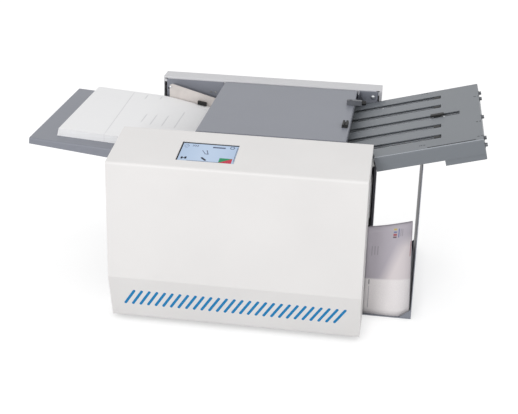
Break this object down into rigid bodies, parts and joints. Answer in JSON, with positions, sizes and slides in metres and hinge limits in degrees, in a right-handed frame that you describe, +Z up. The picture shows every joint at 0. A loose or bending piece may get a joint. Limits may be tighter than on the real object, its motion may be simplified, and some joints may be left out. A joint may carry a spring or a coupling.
{
  "type": "paper folding machine",
  "caption": "Desk paper folding machine with touchscreen, feed tray, slotted upper fold plate, hinged top cover, geared fold rollers and catch tray.",
  "frame": {"origin": "on the floor in the middle of the overall length and depth", "axes": "+X runs with the paper from the feed tray to the catch tray, +Y from the front cover to the rear cover, +Z up"},
  "size_m": [0.88, 0.514, 0.3914],
  "materials": {
    "white_paint": "satin",
    "grey_paint": "satin",
    "dark_paint": "satin",
    "steel": "brushed",
    "bright_steel": "polished",
    "roller_rubber": "matt",
    "black_plastic": "matt",
    "white_plastic": "matt",
    "gear_plastic": "matt",
    "board": "matt",
    "screen": "gloss",
    "paper": "uncoated paper",
    "bronze": "plain",
    "motor_metal": "cast"
  },
  "bodies": {
    "machine": {"base_pan": "dark_paint", "rubber_feet": "roller_rubber", "front_frame": "steel", "rear_frame": "grey_paint", "tie_bars": "bright_steel", "left_end_panel": "dark_paint", "right_end_panel": "dark_paint", "front_cover": "white_paint", "rear_cover": "white_paint", "screen_bezel": "black_plastic", "screen_glass": "screen", "control_board": "board", "power_supply": "steel", "drive_motor": "motor_metal", "power_inlet": "black_plastic", "feed_tray": "grey_paint", "support_rails": "steel", "paper_stack": "paper", "sheet_guides": "steel", "roller_bearings": "bronze", "drive_belts": "roller_rubber", "lower_fold_plate": "steel", "hinge_brackets": "steel", "plate_brackets": "grey_paint", "frame_screws": "bright_steel"},
    "feed_roller": {"feed_shaft": "bright_steel", "feed_tyres": "roller_rubber"},
    "roller_1": {"fold_roller_1": "roller_rubber", "roller_gear_1": "gear_plastic"},
    "roller_2": {"fold_roller_2": "roller_rubber", "roller_gear_2": "gear_plastic", "drive_pulley": "motor_metal"},
    "roller_3": {"fold_roller_3": "roller_rubber", "roller_gear_3": "gear_plastic"},
    "roller_4": {"fold_roller_4": "roller_rubber", "roller_gear_4": "gear_plastic"},
    "idler": {"idler_gear": "gear_plastic"},
    "press_upper": {"press_roller_upper": "bright_steel"},
    "press_lower": {"press_roller_lower": "bright_steel"},
    "motor_rotor": {"motor_pulley": "motor_metal"},
    "lid": {"top_cover": "grey_paint"},
    "latch": {"cover_latch": "black_plastic"},
    "lever": {"cover_lever": "motor_metal", "lever_knob": "black_plastic"},
    "fold_plate": {"plate_top_sheet": "grey_paint", "plate_bottom_sheet": "grey_paint", "plate_end_box": "grey_paint", "plate_fasteners": "bright_steel", "stop_rods": "bright_steel"},
    "upper_stop": {"fold_stop": "black_plastic"},
    "lower_stop": {"lower_fold_stop": "motor_metal"},
    "rear_guide": {"rear_side_guide": "white_plastic", "guide_tab": "black_plastic"},
    "front_guide": {"front_side_guide": "white_plastic"},
    "catcher": {"catch_tray": "grey_paint", "folded_sheets": "paper"},
    "rocker": {"power_rocker": "black_plastic"},
    "separator": {"separator_arm": "steel", "separator_pad": "roller_rubber"}
  },
  "joints": [
    {"name": "feed_roller_spin", "type": "hinge", "parent": "machine", "child": "feed_roller", "pos_m": [-0.085, 0.04, 0.322], "axis": [0, 1, 0], "continuous": true},
    {"name": "roller_1_spin", "type": "hinge", "parent": "machine", "child": "roller_1", "pos_m": [0.03861, 0.04, 0.30288], "axis": [0, 1, 0], "continuous": true},
    {"name": "roller_2_spin", "type": "hinge", "parent": "machine", "child": "roller_2", "pos_m": [0.0414, 0.04, 0.271], "axis": [0, 1, 0], "continuous": true},
    {"name": "roller_3_spin", "type": "hinge", "parent": "machine", "child": "roller_3", "pos_m": [0.07147, 0.04, 0.26005], "axis": [0, 1, 0], "continuous": true},
    {"name": "roller_4_spin", "type": "hinge", "parent": "machine", "child": "roller_4", "pos_m": [0.06053, 0.04, 0.22998], "axis": [0, 1, 0], "continuous": true},
    {"name": "idler_spin", "type": "hinge", "parent": "machine", "child": "idler", "pos_m": [0.09535, 0.04, 0.20477], "axis": [0, 1, 0], "continuous": true},
    {"name": "press_upper_spin", "type": "hinge", "parent": "machine", "child": "press_upper", "pos_m": [0.15369, 0.04, 0.23325], "axis": [0, 1, 0], "continuous": true},
    {"name": "press_lower_spin", "type": "hinge", "parent": "machine", "child": "press_lower", "pos_m": [0.14231, 0.04, 0.19075], "axis": [0, 1, 0], "continuous": true},
    {"name": "motor_spin", "type": "hinge", "parent": "machine", "child": "motor_rotor", "pos_m": [-0.13, 0.04, 0.11], "axis": [0, 1, 0], "continuous": true},
    {"name": "lid_hinge", "type": "hinge", "parent": "machine", "child": "lid", "pos_m": [0.03, 0.203, 0.3515], "axis": [-1, 0, 0], "range_deg": [0, 80]},
    {"name": "latch_slide", "type": "slide", "parent": "lid", "child": "latch", "axis": [0, 1, 0], "range_m": [0, 0.006]},
    {"name": "lever_turn", "type": "hinge", "parent": "lid", "child": "lever", "pos_m": [0.171, 0.11, 0.357], "axis": [0, 0, 1], "range_deg": [0, 90]},
    {"name": "fold_plate_slide", "type": "slide", "parent": "machine", "child": "fold_plate", "axis": [0.9667, 0, 0.256], "range_m": [0, 0.12]},
    {"name": "upper_stop_slide", "type": "slide", "parent": "fold_plate", "child": "upper_stop", "axis": [0.9667, 0, 0.256], "range_m": [-0.24, 0]},
    {"name": "lower_stop_slide", "type": "slide", "parent": "machine", "child": "lower_stop", "axis": [-0.342, 0, -0.9397], "range_m": [-0.08, 0.06]},
    {"name": "rear_guide_slide", "type": "slide", "parent": "machine", "child": "rear_guide", "axis": [0, 1, 0], "range_m": [0, 0.013]},
    {"name": "front_guide_slide", "type": "slide", "parent": "machine", "child": "front_guide", "axis": [0, -1, 0], "range_m": [0, 0.013]},
    {"name": "catch_tray_slide", "type": "slide", "parent": "machine", "child": "catcher", "axis": [1, 0, 0], "range_m": [0, 0.08]},
    {"name": "power_rocker_tilt", "type": "hinge", "parent": "machine", "child": "rocker", "pos_m": [0.12, 0.252, 0.046], "axis": [-1, 0, 0], "range_deg": [0, 14]},
    {"name": "separator_hinge", "type": "hinge", "parent": "machine", "child": "separator", "pos_m": [-0.06, 0.04, 0.283], "axis": [0, -1, 0], "range_deg": [0, 8], "stiffness_Nm_per_rad": 0.6, "springref_deg": -17.19}
  ],
  "couplings": [
    {"joint": "roller_1_spin", "follows": "roller_2_spin", "ratio": -1},
    {"joint": "roller_3_spin", "follows": "roller_2_spin", "ratio": -1},
    {"joint": "roller_4_spin", "follows": "roller_2_spin", "ratio": 1},
    {"joint": "idler_spin", "follows": "roller_2_spin", "ratio": -0.59259},
    {"joint": "press_lower_spin", "follows": "roller_2_spin", "ratio": 0.72727},
    {"joint": "press_upper_spin", "follows": "roller_2_spin", "ratio": -0.72727},
    {"joint": "feed_roller_spin", "follows": "roller_2_spin", "ratio": -1},
    {"joint": "motor_spin", "follows": "roller_2_spin", "ratio": 1.8}
  ]
}
